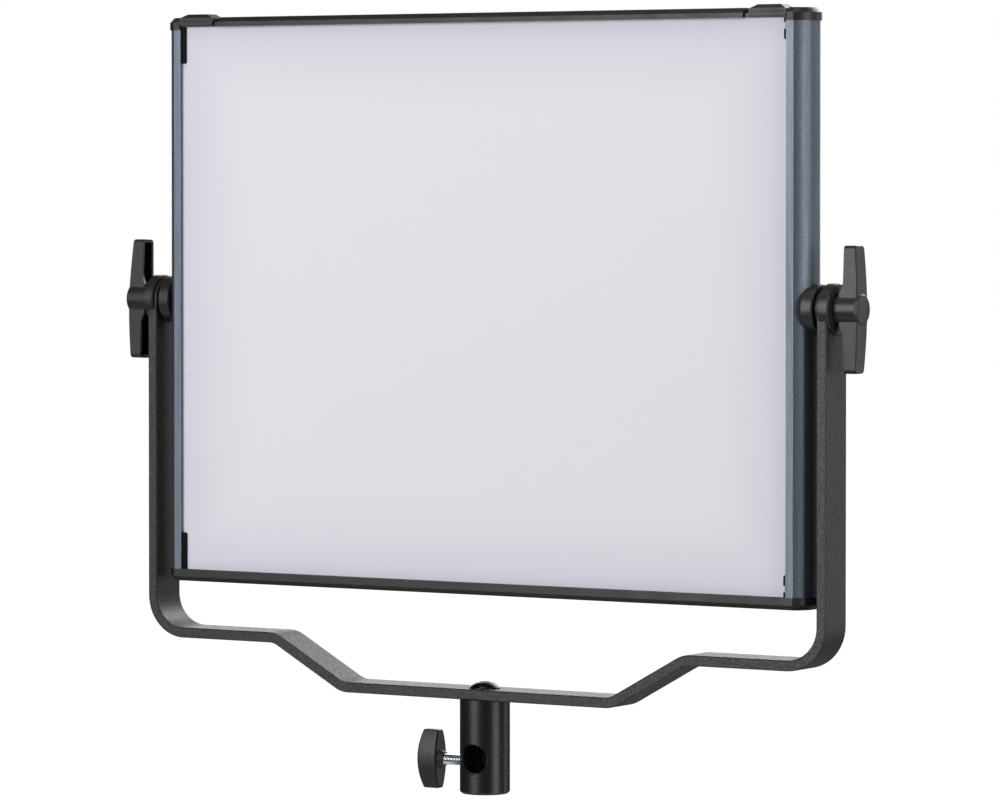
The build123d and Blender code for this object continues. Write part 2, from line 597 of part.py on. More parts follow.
def screw_along_y(x, z, tip_y, seat_y):
    """Pan-head screw driven towards -Y, with its head's underside at seat_y."""
    shank = rod_y((tip_y, seat_y), x, z, SCREW_RADIUS)
    head = rod_y((seat_y, seat_y + SCREW_HEAD_HEIGHT), x, z, SCREW_HEAD_RADIUS)
    head = fillet(head.edges().sort_by(Axis.Y)[-1], 0.9)
    recess = Pos(x, seat_y + SCREW_HEAD_HEIGHT, z) * Rot(90, 0, 0) * cross_recess(2.6)
    return shank + head - recess


def back_screws():
    screws = [screw_along_y(x, z, BACK_PLATE_FRONT, HALF_DEPTH) for x, z in back_screw_places()]
    return Compound(children=screws)


# ---- catches and clips ----------------------------------------------------------------------
def accessory_catch():
    """Right-hand sliding catch: a front plate and a raised top with sloping ends."""
    front_y = -HALF_DEPTH - TRIM_FRONT_OVERHANG
    shoulder = HEAD_TOP - 0.6
    outline = Polyline(
        (CATCH_INNER_X, OPENING_TOP + 0.7),
        (CATCH_OUTER_X, OPENING_TOP + 0.7),
        (CATCH_OUTER_X, shoulder),
        (CATCH_OUTER_X - CATCH_RAMP, CATCH_TOP),
        (CATCH_INNER_X + CATCH_RAMP, CATCH_TOP),
        (CATCH_INNER_X, shoulder),
        close=True,
    )
    body = Plane.XZ * make_face(outline)
    catch = Pos(0, CATCH_BACK, 0) * extrude(body, CATCH_BACK - front_y)
    below = (CATCH_SEAT - 2 * CATCH_RAMP, CATCH_SEAT + GAP)
    catch -= block((CATCH_INNER_X - 1, CATCH_OUTER_X + 1), (front_y + CATCH_PLATE, 0), below)
    top_front = [
        edge for edge in edges_along(catch, Axis.X)
        if abs(edge.center().Z - CATCH_TOP) < 0.01 and edge.center().Y < front_y + 1
    ]
    catch = chamfer(ShapeList(top_front), 2.0)
    lip_x = (CATCH_INNER_X + GAP, CATCH_OUTER_X - GAP)
    lip = block(lip_x, (front_y - CATCH_LIP, front_y + CATCH_LIP), (CATCH_SEAT - 1.6, CATCH_SEAT - 0.2))
    return catch + lip


def diffuser_clip(outer_end, length, direction, width):
    """Right-hand clip beside the flange; direction is -1 when it runs down from its outer end."""
    inner_end = outer_end + direction * length
    y_span = (DIFFUSER_FRONT - CLIP_THICKNESS, DIFFUSER_FRONT)
    clip = block((FLANGE_INNER_X - width, FLANGE_INNER_X), y_span, sorted((outer_end, inner_end)))
    corner = [
        edge for edge in edges_along(clip, Axis.Y)
        if edge.center().X < FLANGE_INNER_X - 1 and abs(edge.center().Z - inner_end) < 0.01
    ]
    return fillet(ShapeList(corner), 1.2)


def slotted_clip(outer_end, direction):
    clip = diffuser_clip(outer_end, SHORT_CLIP_LENGTH, direction, SLOTTED_CLIP_WIDTH)
    slot = sorted(outer_end + direction * distance for distance in CLIP_SLOT)
    inner_x = FLANGE_INNER_X - SLOTTED_CLIP_WIDTH
    return clip - block((inner_x - 1, inner_x + 1), (DIFFUSER_FRONT - 2 * CLIP_THICKNESS, 0), slot)


# ---- rear housing and controls --------------------------------------------------------------
def housing_screw_places():
    rows = (HOUSING_TOP - HOUSING_SCREW_INSET, HOUSING_BOTTOM + HOUSING_SCREW_INSET)
    return [(x, z) for x in both_sides([HOUSING_SCREW_X]) for z in rows]


def control_housing():
    outer = block(
        (-HOUSING_HALF_WIDTH, HOUSING_HALF_WIDTH),
        (HOUSING_FRONT, HOUSING_BACK),
        (HOUSING_BOTTOM, HOUSING_TOP),
    )
    outer = fillet(edges_along(outer, Axis.Y), HOUSING_CORNER)
    outer = chamfer(outer.faces().sort_by(Axis.Y)[-1].edges(), HOUSING_BEVEL)
    inner_x = HOUSING_HALF_WIDTH - HOUSING_WALL
    inner_back = HOUSING_INNER_BACK
    cavity = block(
        (-inner_x, inner_x),
        (HOUSING_FRONT - 1, inner_back),
        (HOUSING_BOTTOM + HOUSING_WALL, HOUSING_TOP - HOUSING_WALL),
    )
    cavity = fillet(edges_along(cavity, Axis.Y), HOUSING_CORNER - HOUSING_WALL)
    shell = outer - cavity
    for x, z in housing_screw_places():
        shell += rod_y((HOUSING_FRONT, inner_back + 0.5), x, z, HOUSING_POST_RADIUS)
        shell -= rod_y((HOUSING_FRONT - 1, HOUSING_BACK + 1), x, z, SCREW_RADIUS + FIT)
        sink = (HOUSING_BACK - HOUSING_SCREW_SINK, HOUSING_BACK + 1)
        shell -= rod_y(sink, x, z, SCREW_HEAD_RADIUS + GAP)
    face = (inner_back - 5, HOUSING_BACK + 5)
    shell -= block(
        (-DISPLAY_HALF_WIDTH, DISPLAY_HALF_WIDTH),
        face,
        (DISPLAY_Z - DISPLAY_HALF_HEIGHT, DISPLAY_Z + DISPLAY_HALF_HEIGHT),
    )
    for x in both_sides([KNOB_X]):
        shell -= rod_y(face, x, KNOB_Z, BUSH_RADIUS)
    for x in BUTTON_X:
        shell -= button_prism(x, 0.35, face)
    shell -= block(
        (SWITCH_X - SWITCH_HALF_WIDTH, SWITCH_X + SWITCH_HALF_WIDTH),
        face,
        (SWITCH_Z - SWITCH_HALF_HEIGHT, SWITCH_Z + SWITCH_HALF_HEIGHT),
    )
    shell -= rod_z((HOUSING_BOTTOM - 1, HOUSING_BOTTOM + HOUSING_WALL + 1), INLET_X, INLET_Y, 6.0)
    # Louvres through the top wall and through both side walls.
    for column in range(15):
        x = (column - 7) * 12
        shell -= block((x - 4, x + 4), (20, 22.2), (HOUSING_TOP - 5, HOUSING_TOP + 5))
        shell -= block((x - 4, x + 4), (27, 29.2), (HOUSING_TOP - 5, HOUSING_TOP + 5))
    for row in range(6):
        z = HOUSING_BOTTOM + 35 + row * 10
        for side in (-1, 1):
            wall = sorted((side * (HOUSING_HALF_WIDTH - 6), side * (HOUSING_HALF_WIDTH + 5)))
            shell -= block(wall, (18, 32), (z - 1.2, z + 1.2))
    return shell


def button_prism(x, clearance, y_span):
    """Rounded push-button section, grown all round by the clearance."""
    half_width = BUTTON_WIDTH / 2 + clearance
    half_height = BUTTON_HEIGHT / 2 + clearance
    prism = block((x - half_width, x + half_width), y_span, (BUTTON_Z - half_height, BUTTON_Z + half_height))
    return fillet(edges_along(prism, Axis.Y), 3.0 + clearance)


def push_button(x):
    cap = button_prism(x, 0, (HOUSING_INNER_BACK - 1.5, HOUSING_BACK + 1.6))
    cap = fillet(cap.faces().sort_by(Axis.Y)[-1].edges(), 0.6)
    collar_back = HOUSING_INNER_BACK - GAP
    collar = button_prism(x, 1.5, (collar_back - 1.4, collar_back))
    return cap + collar


def housing_screws():
    seat = HOUSING_BACK - HOUSING_SCREW_SINK
    screws = [screw_along_y(x, z, BACK_PLATE_FRONT, seat) for x, z in housing_screw_places()]
    return Compound(children=screws)


def display_window():
    y_span = (HOUSING_INNER_BACK, HOUSING_BACK - 0.6)
    window = block(
        (-DISPLAY_HALF_WIDTH, DISPLAY_HALF_WIDTH),
        y_span,
        (DISPLAY_Z - DISPLAY_HALF_HEIGHT, DISPLAY_Z + DISPLAY_HALF_HEIGHT),
    )
    return window


def display_module():
    y_span = (HOUSING_INNER_BACK - 4.5, HOUSING_INNER_BACK)
    return block((-33.0, 33.0), y_span, (DISPLAY_Z - 20, DISPLAY_Z + 20))


def control_board():
    y_span = (BOARD_BACK - BOARD_THICKNESS, BOARD_BACK)
    return block((-92, 92), y_span, (BUTTON_Z - 8, KNOB_Z + 14))


def tact_switches():
    """Push switches on the control board, one behind each button."""
    tip = HOUSING_INNER_BACK - GAP - 1.4 - BUTTON_TRAVEL - GAP
    switches = []
    for x in BUTTON_X:
        base = block((x - 3, x + 3), (BOARD_BACK, tip - 1.0), (BUTTON_Z - 3, BUTTON_Z + 3))
        switches.append(base + rod_y((tip - 1.0, tip), x, BUTTON_Z, 1.7))
    return Compound(children=switches)


def driver_board():
    return block((-80, 62), (15, 15 + BOARD_THICKNESS), (HOUSING_BOTTOM + 8, HOUSING_BOTTOM + 36))


def driver_parts():
    """Coil, capacitors and regulators standing on the driver board."""
    top = 15 + BOARD_THICKNESS
    z = HOUSING_BOTTOM + 22
    coil = block((-30, -8), (top, top + 12), (z - 10, z + 10))
    capacitors = [rod_y((top, top + 14), x, z, 6.0) for x in (8, 24, 40)]
    regulators = [block((x, x + 6), (top, top + 5), (z - 6, z + 6)) for x in (-74, -62)]
    return Compound(children=[coil] + capacitors + regulators)


def encoder_body(x):
    base = block((x - 6.5, x + 6.5), (BOARD_BACK, HOUSING_INNER_BACK), (KNOB_Z - 6.5, KNOB_Z + 6.5))
    bush = rod_y((HOUSING_INNER_BACK, HOUSING_BACK + 1.6), x, KNOB_Z, BUSH_RADIUS)
    return base + bush - rod_y((BOARD_BACK + 1.5, HOUSING_BACK + 2), x, KNOB_Z, SHAFT_RADIUS + FIT)


def encoder_shaft(x):
    return rod_y((BOARD_BACK + 1.5 + GAP, HOUSING_BACK + 11), x, KNOB_Z, SHAFT_RADIUS)


def control_knob(x):
    start = HOUSING_BACK + 0.5
    end = start + KNOB_HEIGHT
    knob = rod_y((start, end), x, KNOB_Z, KNOB_RADIUS)
    knob = fillet(knob.edges().sort_by(Axis.Y)[-1], 1.5)
    for flute in range(KNOB_FLUTES):
        angle = 2 * math.pi * flute / KNOB_FLUTES
        groove_x = x + (KNOB_RADIUS + 0.5) * math.cos(angle)
        groove_z = KNOB_Z + (KNOB_RADIUS + 0.5) * math.sin(angle)
        knob -= rod_y((start + 2.5, end + 1), groove_x, groove_z, 1.1)
    knob -= rod_y((start - 1, start + 3.0), x, KNOB_Z, BUSH_RADIUS + 1.4)
    knob -= rod_y((start, HOUSING_BACK + 11), x, KNOB_Z, SHAFT_RADIUS)
    # Pointer line let into the end face.
    knob -= block((x - 0.5, x + 0.5), (end - 0.5, end + 1), (KNOB_Z + 4, KNOB_Z + 10.5))
    return knob


def switch_frame():
    """Bezel of the power switch, a rim outside the housing and a tube through its wall."""
    rim = block(
        (SWITCH_X - SWITCH_HALF_WIDTH - 1.5, SWITCH_X + SWITCH_HALF_WIDTH + 1.5),
        (HOUSING_BACK, HOUSING_BACK + 1.2),
        (SWITCH_Z - SWITCH_HALF_HEIGHT - 1.5, SWITCH_Z + SWITCH_HALF_HEIGHT + 1.5),
    )
    rim = fillet(edges_along(rim, Axis.Y), 1.5)
    tube = block(
        (SWITCH_X - SWITCH_HALF_WIDTH, SWITCH_X + SWITCH_HALF_WIDTH),
        (HOUSING_BACK - 14, HOUSING_BACK),
        (SWITCH_Z - SWITCH_HALF_HEIGHT, SWITCH_Z + SWITCH_HALF_HEIGHT),
    )
    hollow = block(
        (SWITCH_X - SWITCH_HALF_WIDTH + 1.2, SWITCH_X + SWITCH_HALF_WIDTH - 1.2),
        (HOUSING_BACK - 11, HOUSING_BACK + 5),
        (SWITCH_Z - SWITCH_HALF_HEIGHT + 1.2, SWITCH_Z + SWITCH_HALF_HEIGHT - 1.2),
    )
    return rim + tube - hollow


def power_rocker():
    """Rocker with two faces that meet at a shallow angle, pressed at its lower end."""
    half_width = SWITCH_HALF_WIDTH - 1.2 - GAP
    half_height = SWITCH_HALF_HEIGHT - 1.2 - 1.0
    pivot_y = HOUSING_BACK - 3.0
    rise = half_height * math.tan(math.radians(ROCKER_TILT))
    outline = Polyline(
        (-half_height, 4.2 + rise),
        (0, 4.2),
        (half_height, 4.2 + rise),
        (half_height * 0.8, -2.5),
        (-half_height * 0.8, -2.5),
        close=True,
    )
    # The outline's first axis runs along Z and its second along Y.
    section = Plane(origin=(0, 0, 0), x_dir=(0, 0, 1), z_dir=(1, 0, 0)) * make_face(outline)
    rocker = Pos(-half_width, 0, 0) * extrude(section, 2 * half_width)
    rocker = Rot(ROCKER_TILT, 0, 0) * rocker
    return Pos(SWITCH_X, pivot_y, SWITCH_Z) * rocker


def dc_inlet():
    """Barrel socket in the housing's bottom wall, with a rim outside and a centre pin."""
    bottom = HOUSING_BOTTOM
    body = rod_z((bottom - 1.0, bottom + 14), INLET_X, INLET_Y, 6.0)
    body += rod_z((bottom - 1.0, bottom), INLET_X, INLET_Y, 8.0)
    body -= rod_z((bottom - 2, bottom + 10), INLET_X, INLET_Y, 3.2)
    return body + rod_z((bottom + 0.5, bottom + 12), INLET_X, INLET_Y, 1.0)


# ---- writing the files ----------------------------------------------------------------------
def yoke_pieces():
    return {
        "yoke_bar": yoke_bar(),
        "stand_receiver": stand_receiver(),
        "receiver_bolt": receiver_bolt(),
        "knuckle_cap_right": knuckle_cap(),
        "knuckle_cap_left": mirrored(knuckle_cap()),
        "thumb_screw_shank": thumb_screw_shank(),
        "thumb_screw_knob": thumb_screw_knob(),
    }


def head_pieces():
    left_out = Pos(-LEFT_HANDLE_OUT, 0, 0)
    pieces = {
        "side_rail_right": side_rail(),
        "side_rail_left": mirrored(side_rail()),
        "top_trim": top_trim(),
        "bottom_trim": bottom_trim(),
        "diffuser": diffuser(),
        "reflector_frame": reflector_frame(),
        "led_board": led_board(),
        "leds": leds(),
        "board_spacers": board_spacers(),
        "back_plate": back_plate(),
        "back_screws": back_screws(),
        "pivot_block_right": pivot_block(),
        "pivot_block_left": mirrored(pivot_block()),
        "pivot_spacer_right": pivot_spacer(),
        "pivot_spacer_left": mirrored(pivot_spacer()),
        "pivot_screw_right": pivot_screw(),
        "pivot_screw_left": left_out * mirrored(pivot_screw()),
        "tilt_handle_right": tilt_handle(),
        "tilt_handle_left": left_out * Rot(-LEFT_HANDLE_TURN, 0, 0) * mirrored(tilt_handle()),
        "catch_right": accessory_catch(),
        "catch_left": mirrored(accessory_catch()),
        "clip_top_right": slotted_clip(OPENING_TOP, -1),
        "clip_bottom_right": slotted_clip(OPENING_BOTTOM, 1),
        "clip_top_left": mirrored(diffuser_clip(OPENING_TOP, CLIP_LENGTH, -1, CLIP_WIDTH)),
        "clip_bottom_left": mirrored(diffuser_clip(OPENING_BOTTOM, CLIP_LENGTH, 1, CLIP_WIDTH)),
        "control_housing": control_housing(),
        "housing_screws": housing_screws(),
        "display_window": display_window(),
        "display_module": display_module(),
        "control_board": control_board(),
        "tact_switches": tact_switches(),
        "driver_board": driver_board(),
        "driver_parts": driver_parts(),
        "power_switch_frame": switch_frame(),
        "power_rocker": power_rocker(),
        "dc_inlet": dc_inlet(),
    }
    for name, x in (("brightness", -KNOB_X), ("colour", KNOB_X)):
        pieces[name + "_encoder"] = encoder_body(x)
        pieces[name + "_shaft"] = encoder_shaft(x)
        pieces[name + "_knob"] = control_knob(x)
    for name, x in zip(("mode_button", "memory_button", "lock_button"), BUTTON_X):
        pieces[name] = push_button(x)
    return pieces


def write_parts():
    os.makedirs("parts", exist_ok=True)
    lift = Pos(0, 0, TILT_AXIS_HEIGHT)
    pieces = yoke_pieces()
    pieces.update({name: lift * piece for name, piece in head_pieces().items()})
    for name, piece in pieces.items():
        export_step(piece, f"parts/{name}.step")


write_parts()
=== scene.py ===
import math

import bmesh
import bpy
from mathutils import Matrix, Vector


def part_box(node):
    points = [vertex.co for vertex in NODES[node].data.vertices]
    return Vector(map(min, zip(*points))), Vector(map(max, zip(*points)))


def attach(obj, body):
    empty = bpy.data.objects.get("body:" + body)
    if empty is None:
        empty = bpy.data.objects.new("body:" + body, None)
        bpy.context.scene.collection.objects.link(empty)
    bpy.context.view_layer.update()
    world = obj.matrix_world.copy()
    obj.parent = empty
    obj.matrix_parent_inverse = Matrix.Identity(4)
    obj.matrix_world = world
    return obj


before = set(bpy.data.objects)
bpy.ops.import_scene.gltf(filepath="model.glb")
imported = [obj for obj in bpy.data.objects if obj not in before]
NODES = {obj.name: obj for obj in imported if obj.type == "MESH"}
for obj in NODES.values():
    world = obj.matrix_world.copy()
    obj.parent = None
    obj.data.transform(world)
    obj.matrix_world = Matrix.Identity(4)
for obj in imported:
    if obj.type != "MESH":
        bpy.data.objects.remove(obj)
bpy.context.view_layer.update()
SCENE = bpy.context.scene
MM = 0.001

# ---- camera: fitted to the photograph's perspective, about the tilt axis -------------------------
TILT_AXIS = Vector((0.0, 0.0, 0.273))
CAMERA_AZIMUTH = math.radians(31.775)
CAMERA_ELEVATION = math.radians(1.454)
CAMERA_DISTANCE = 2.996
CAMERA_LENS = 193.64
CAMERA_SHIFT = (0.01504, -0.09608)

# ---- stage ---------------------------------------------------------------------------------------
FLOOR_Z = -2.0
FLOOR_RADIUS = 60.0
WORLD_FILL = 0.06
SOFTBOXES = {
    # name: azimuth, elevation, distance, width, height, watts
    "front": (-18.0, 12.0, 2.8, 1.7, 2.2, 56.0),
    "right": (84.0, 6.0, 2.4, 1.1, 2.4, 28.0),
    "right_rim": (142.0, 6.0, 2.4, 0.9, 2.2, 7.0),
    "back_key": (176.0, 30.0, 2.6, 1.6, 1.4, 30.0),
    "top": (10.0, 76.0, 2.2, 1.6, 1.2, 13.0),
    "back": (205.0, 9.0, 2.8, 3.0, 1.6, 34.0),
}


def direction(azimuth, elevation):
    """Unit vector from the object towards a camera or light; azimuth 0 faces the diffuser."""
    flat = math.cos(elevation)
    return Vector((math.sin(azimuth) * flat, -math.cos(azimuth) * flat, math.sin(elevation)))


def add_camera():
    """Long lens with the shift that the photograph's framing needs."""
    data = bpy.data.cameras.new("camera")
    data.lens = CAMERA_LENS
    data.sensor_width = 36.0
    data.shift_x, data.shift_y = CAMERA_SHIFT
    data.clip_start = 0.05
    data.clip_end = 300.0
    camera = bpy.data.objects.new("camera", data)
    SCENE.collection.objects.link(camera)
    towards = direction(CAMERA_AZIMUTH, CAMERA_ELEVATION)
    camera.location = TILT_AXIS + towards * CAMERA_DISTANCE
    camera.rotation_euler = (-towards).to_track_quat("-Z", "Y").to_euler()
    SCENE.camera = camera


# ---- node helpers --------------------------------------------------------------------------------
# Sockets of a Mix node set to colour; it keeps a pair of inputs for each kind of value.
MIX_SHARE, MIX_FIRST, MIX_SECOND, MIX_COLOUR = 0, 6, 7, 2
# Dot product of the plain and the bevelled normal: on a flat face, and right on an edge.
FLAT_DOT, EDGE_DOT = 0.995, 0.86


class Tree:
    """A material's node tree, with the few steps that every finish here uses."""

    def __init__(self, name):
        self.material = bpy.data.materials.new(name)
        self.material.use_nodes = True
        self.nodes = self.material.node_tree.nodes
        self.links = self.material.node_tree.links
        self.shader = self.nodes["Principled BSDF"]
        self.place = self.nodes.new("ShaderNodeTexCoord").outputs["Object"]

    def set(self, **values):
        for key, value in values.items():
            self.shader.inputs[key.replace("_", " ")].default_value = value

    def join(self, source, socket):
        self.links.new(source, self.shader.inputs[socket])

    def scaled(self, stretch):
        mapping = self.nodes.new("ShaderNodeMapping")
        mapping.inputs["Scale"].default_value = stretch
        self.links.new(self.place, mapping.inputs["Vector"])
        return mapping.outputs["Vector"]

    def noise(self, scale, detail=2.0, roughness=0.5, stretch=(1, 1, 1)):
        """Cloudy pattern; scale is features per metre."""
        node = self.nodes.new("ShaderNodeTexNoise")
        node.inputs["Scale"].default_value = scale
        node.inputs["Detail"].default_value = detail
        node.inputs["Roughness"].default_value = roughness
        self.links.new(self.scaled(stretch), node.inputs["Vector"])
        return node.outputs["Fac"]

    def cells(self, scale, stretch=(1, 1, 1)):
        """Pebbled pattern, as moulded plastic or powder coat has."""
        node = self.nodes.new("ShaderNodeTexVoronoi")
        node.feature = "SMOOTH_F1"
        node.inputs["Scale"].default_value = scale
        node.inputs["Smoothness"].default_value = 0.6
        self.links.new(self.scaled(stretch), node.inputs["Vector"])
        return node.outputs["Distance"]

    def remap(self, source, low, high, to_low, to_high):
        node = self.nodes.new("ShaderNodeMapRange")
        node.inputs["From Min"].default_value = low
        node.inputs["From Max"].default_value = high
        node.inputs["To Min"].default_value = to_low
        node.inputs["To Max"].default_value = to_high
        self.links.new(source, node.inputs["Value"])
        return node.outputs["Result"]

    def maths(self, operation, a, b):
        node = self.nodes.new("ShaderNodeMath")
        node.operation = operation
        for socket, value in zip(node.inputs, (a, b)):
            if isinstance(value, (int, float)):
                socket.default_value = value
            else:
                self.links.new(value, socket)
        return node.outputs["Value"]

    def mix(self, share, first, second):
        """Colour between two, either of which may be a colour or another node's output."""
        node = self.nodes.new("ShaderNodeMix")
        node.data_type = "RGBA"
        node.clamp_factor = True
        self.links.new(share, node.inputs[MIX_SHARE])
        for index, value in ((MIX_FIRST, first), (MIX_SECOND, second)):
            socket = node.inputs[index]
            if isinstance(value, (tuple, list)):
                socket.default_value = (*value[:3], 1.0)
            else:
                self.links.new(value, socket)
        return node.outputs[MIX_COLOUR]

    def bump(self, height, distance, strength=1.0, under=None):
        node = self.nodes.new("ShaderNodeBump")
        node.inputs["Distance"].default_value = distance
        node.inputs["Strength"].default_value = strength
        self.links.new(height, node.inputs["Height"])
        if under is not None:
            self.links.new(under, node.inputs["Normal"])
        return node.outputs["Normal"]

    def edges(self, radius, breakup_scale):
        """1 along outer edges within radius, broken up by noise, and 0 elsewhere."""
        rounded = self.nodes.new("ShaderNodeBevel")
        rounded.samples = 4
        rounded.inputs["Radius"].default_value = radius
        plain = self.nodes.new("ShaderNodeNewGeometry").outputs["Normal"]
        dot = self.nodes.new("ShaderNodeVectorMath")
        dot.operation = "DOT_PRODUCT"
        self.links.new(rounded.outputs["Normal"], dot.inputs[0])
        self.links.new(plain, dot.inputs[1])
        near = self.remap(dot.outputs["Value"], FLAT_DOT, EDGE_DOT, 0.0, 1.0)
        patches = self.remap(self.noise(breakup_scale, 4.0, 0.6), 0.38, 0.62, 0.0, 1.0)
        return self.maths("MULTIPLY", near, patches)


def tinted(colour, factor):
    return tuple(channel * factor for channel in colour)


# ---- finishes ------------------------------------------------------------------------------------
def powder_coat(name, colour, speckle=0.35, grain=1500.0, roughness=0.5, wear_and_highlight=0.4, level=0.5):
    """Textured black powder coat: fine bright specks, orange-peel bump, lighter edges that are
    partly worn and partly a painted highlight.
    """
    tree = Tree(name)
    specks = tree.remap(tree.noise(grain, 3.0, 0.7), 0.42, 0.68, 0.0, 1.0)
    clouds = tree.remap(tree.noise(14.0, 3.0), 0.3, 0.7, 0.0, 1.0)
    base = tree.mix(specks, tinted(colour, 1 - speckle), tinted(colour, 1 + 2.2 * speckle))
    base = tree.mix(tree.maths("MULTIPLY", clouds, 0.35), base, tinted(colour, 1.35))
    # Lighter edges: partly worn paint, partly a painted highlight line.
    edge_wear_and_highlight = tree.edges(0.7 * MM, 180.0)
    base = tree.mix(tree.maths("MULTIPLY", edge_wear_and_highlight, wear_and_highlight), base, tinted(colour, 3.6))
    tree.join(base, "Base Color")
    tree.join(tree.remap(specks, 0, 1, roughness + 0.1, roughness - 0.1), "Roughness")
    pebbles = tree.bump(tree.cells(grain * 0.9), 0.10 * MM, 0.55)
    tree.join(tree.bump(tree.noise(260.0, 2.0), 0.05 * MM, 0.3, pebbles), "Normal")
    tree.set(Specular_IOR_Level=level)
    return tree.material


def moulded_plastic(
    name, colour, grain=2200.0, roughness=0.42, depth=0.04, wear_and_highlight=0.25, level=0.45
):
    """Injection-moulded plastic: spark-eroded grain, faint flow marks and lighter high edges,
    partly polished and partly a painted highlight.
    """
    tree = Tree(name)
    grain_field = tree.cells(grain)
    flow = tree.remap(tree.noise(22.0, 3.0, 0.6, (1, 1, 0.35)), 0.3, 0.7, 0.0, 1.0)
    base = tree.mix(flow, tinted(colour, 0.86), tinted(colour, 1.18))
    fine = tree.remap(grain_field, 0.1, 0.8, 0.0, 1.0)
    base = tree.mix(tree.maths("MULTIPLY", fine, 0.5), base, tinted(colour, 0.7))
    # Lighter edges: partly worn and polished, partly a painted highlight line.
    edge_wear_and_highlight = tree.edges(0.5 * MM, 240.0)
    base = tree.mix(tree.maths("MULTIPLY", edge_wear_and_highlight, wear_and_highlight), base, tinted(colour, 3.0))
    tree.join(base, "Base Color")
    smears = tree.remap(tree.noise(60.0, 4.0, 0.65), 0.3, 0.7, roughness - 0.06, roughness + 0.08)
    tree.join(smears, "Roughness")
    tree.join(tree.bump(grain_field, depth * MM, 0.6), "Normal")
    tree.set(Specular_IOR_Level=level)
    return tree.material


def anodised(name, colour, roughness=0.38, draw=(1, 1, 0.02)):
    """Bead-blasted, dyed and anodised extrusion with faint die lines along its length."""
    tree = Tree(name)
    blast = tree.noise(1700.0, 2.0, 0.6)
    lines = tree.noise(900.0, 3.0, 0.7, draw)
    clouds = tree.remap(tree.noise(9.0, 3.0), 0.3, 0.7, 0.0, 1.0)
    base = tree.mix(clouds, tinted(colour, 0.93), tinted(colour, 1.07))
    fine = tree.remap(blast, 0.35, 0.7, 0.0, 1.0)
    base = tree.mix(tree.maths("MULTIPLY", fine, 0.75), base, tinted(colour, 1.9))
    streaks = tree.remap(lines, 0.45, 0.75, 0.0, 0.35)
    base = tree.mix(streaks, base, tinted(colour, 0.75))
    # Lighter edges: partly worn anodising, partly a painted highlight line.
    edge_wear_and_highlight = tree.edges(0.4 * MM, 150.0)
    base = tree.mix(tree.maths("MULTIPLY", edge_wear_and_highlight, 0.5), base, (0.55, 0.58, 0.62))
    tree.join(base, "Base Color")
    tree.join(tree.remap(lines, 0.3, 0.75, roughness - 0.05, roughness + 0.09), "Roughness")
    grainy = tree.bump(blast, 0.035 * MM, 0.5)
    tree.join(tree.bump(lines, 0.02 * MM, 0.35, grainy), "Normal")
    tree.set(Metallic=0.85, Specular_IOR_Level=0.5)
    return tree.material


def bare_metal(name, colour, roughness=0.2, grain=700.0, stretch=(0.05, 1, 1), stain=0.7):
    """Plated or machined steel with turning marks along one direction and faint staining."""
    tree = Tree(name)
    turning = tree.noise(grain, 4.0, 0.7, stretch)
    clouds = tree.remap(tree.noise(90.0, 3.0), 0.35, 0.65, 0.0, 1.0)
    base = tree.mix(clouds, colour, tinted(colour, stain))
    tree.join(base, "Base Color")
    tree.join(tree.remap(turning, 0.3, 0.7, roughness - 0.06, roughness + 0.14), "Roughness")
    tree.join(tree.bump(turning, 0.015 * MM, 0.5), "Normal")
    tree.set(Metallic=1.0)
    return tree.material


def rubbery(name, colour, roughness=0.62):
    """Soft-touch elastomer with a dusty sheen and fine pores."""
    tree = Tree(name)
    pores = tree.cells(3200.0)
    dust = tree.remap(tree.noise(45.0, 5.0, 0.65), 0.45, 0.75, 0.0, 0.5)
    base = tree.mix(dust, colour, tinted(colour, 1.9))
    tree.join(base, "Base Color")
    tree.join(tree.remap(pores, 0.1, 0.8, roughness - 0.07, roughness + 0.08), "Roughness")
    tree.join(tree.bump(pores, 0.03 * MM, 0.5), "Normal")
    tree.set(Sheen_Weight=0.15, Specular_IOR_Level=0.35)
    return tree.material


def opal_sheet(name):
    """Opal acrylic over a light box: even and milky, with painted shade, darker and bluer, along
    its edges.
    """
    tree = Tree(name)
    corner_blend, shade_width = 0.02, 0.055
    low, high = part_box("diffuser")
    centre = (low + high) / 2
    half = (high - low) / 2
    parts = tree.nodes.new("ShaderNodeSeparateXYZ")
    tree.links.new(tree.place, parts.inputs["Vector"])
    across = tree.maths("ABSOLUTE", parts.outputs["X"], 0.0)
    height = tree.maths("SUBTRACT", parts.outputs["Z"], centre.z)
    from_middle = tree.maths("ABSOLUTE", height, 0.0)
    side = tree.maths("SUBTRACT", half.x, across)
    end = tree.maths("SUBTRACT", half.z, from_middle)
    nearest = tree.maths("SMOOTH_MIN", side, end)
    nearest.node.inputs[2].default_value = corner_blend
    # Painted shade: darker and bluer within shade_width of the sheet's edges.
    painted_edge_shade = tree.remap(nearest, 0.0, shade_width, 1.0, 0.0)
    painted_edge_shade = tree.maths("POWER", painted_edge_shade, 1.6)
    clouds = tree.remap(tree.noise(7.0, 2.0), 0.3, 0.7, 0.0, 0.35)
    base = tree.mix(clouds, (0.90, 0.885, 0.945), (0.91, 0.90, 0.945))
    base = tree.mix(painted_edge_shade, base, (0.74, 0.745, 0.84))
    tree.join(base, "Base Color")
    tree.join(tree.remap(tree.noise(400.0, 3.0), 0.3, 0.7, 0.46, 0.58), "Roughness")
    tree.join(tree.bump(tree.noise(3000.0, 2.0), 0.01 * MM, 0.3), "Normal")
    tree.set(Specular_IOR_Level=0.3)
    return tree.material


def painted_white(name, colour=(0.85, 0.85, 0.84)):
    """Matt white paint or natural nylon, faintly clouded."""
    tree = Tree(name)
    clouds = tree.remap(tree.noise(30.0, 3.0), 0.3, 0.7, 0.0, 1.0)
    tree.join(tree.mix(clouds, tinted(colour, 0.94), colour), "Base Color")
    tree.join(tree.remap(tree.noise(300.0, 2.0), 0.3, 0.7, 0.5, 0.65), "Roughness")
    tree.join(tree.bump(tree.noise(1500.0, 2.0), 0.02 * MM, 0.4), "Normal")
    return tree.material


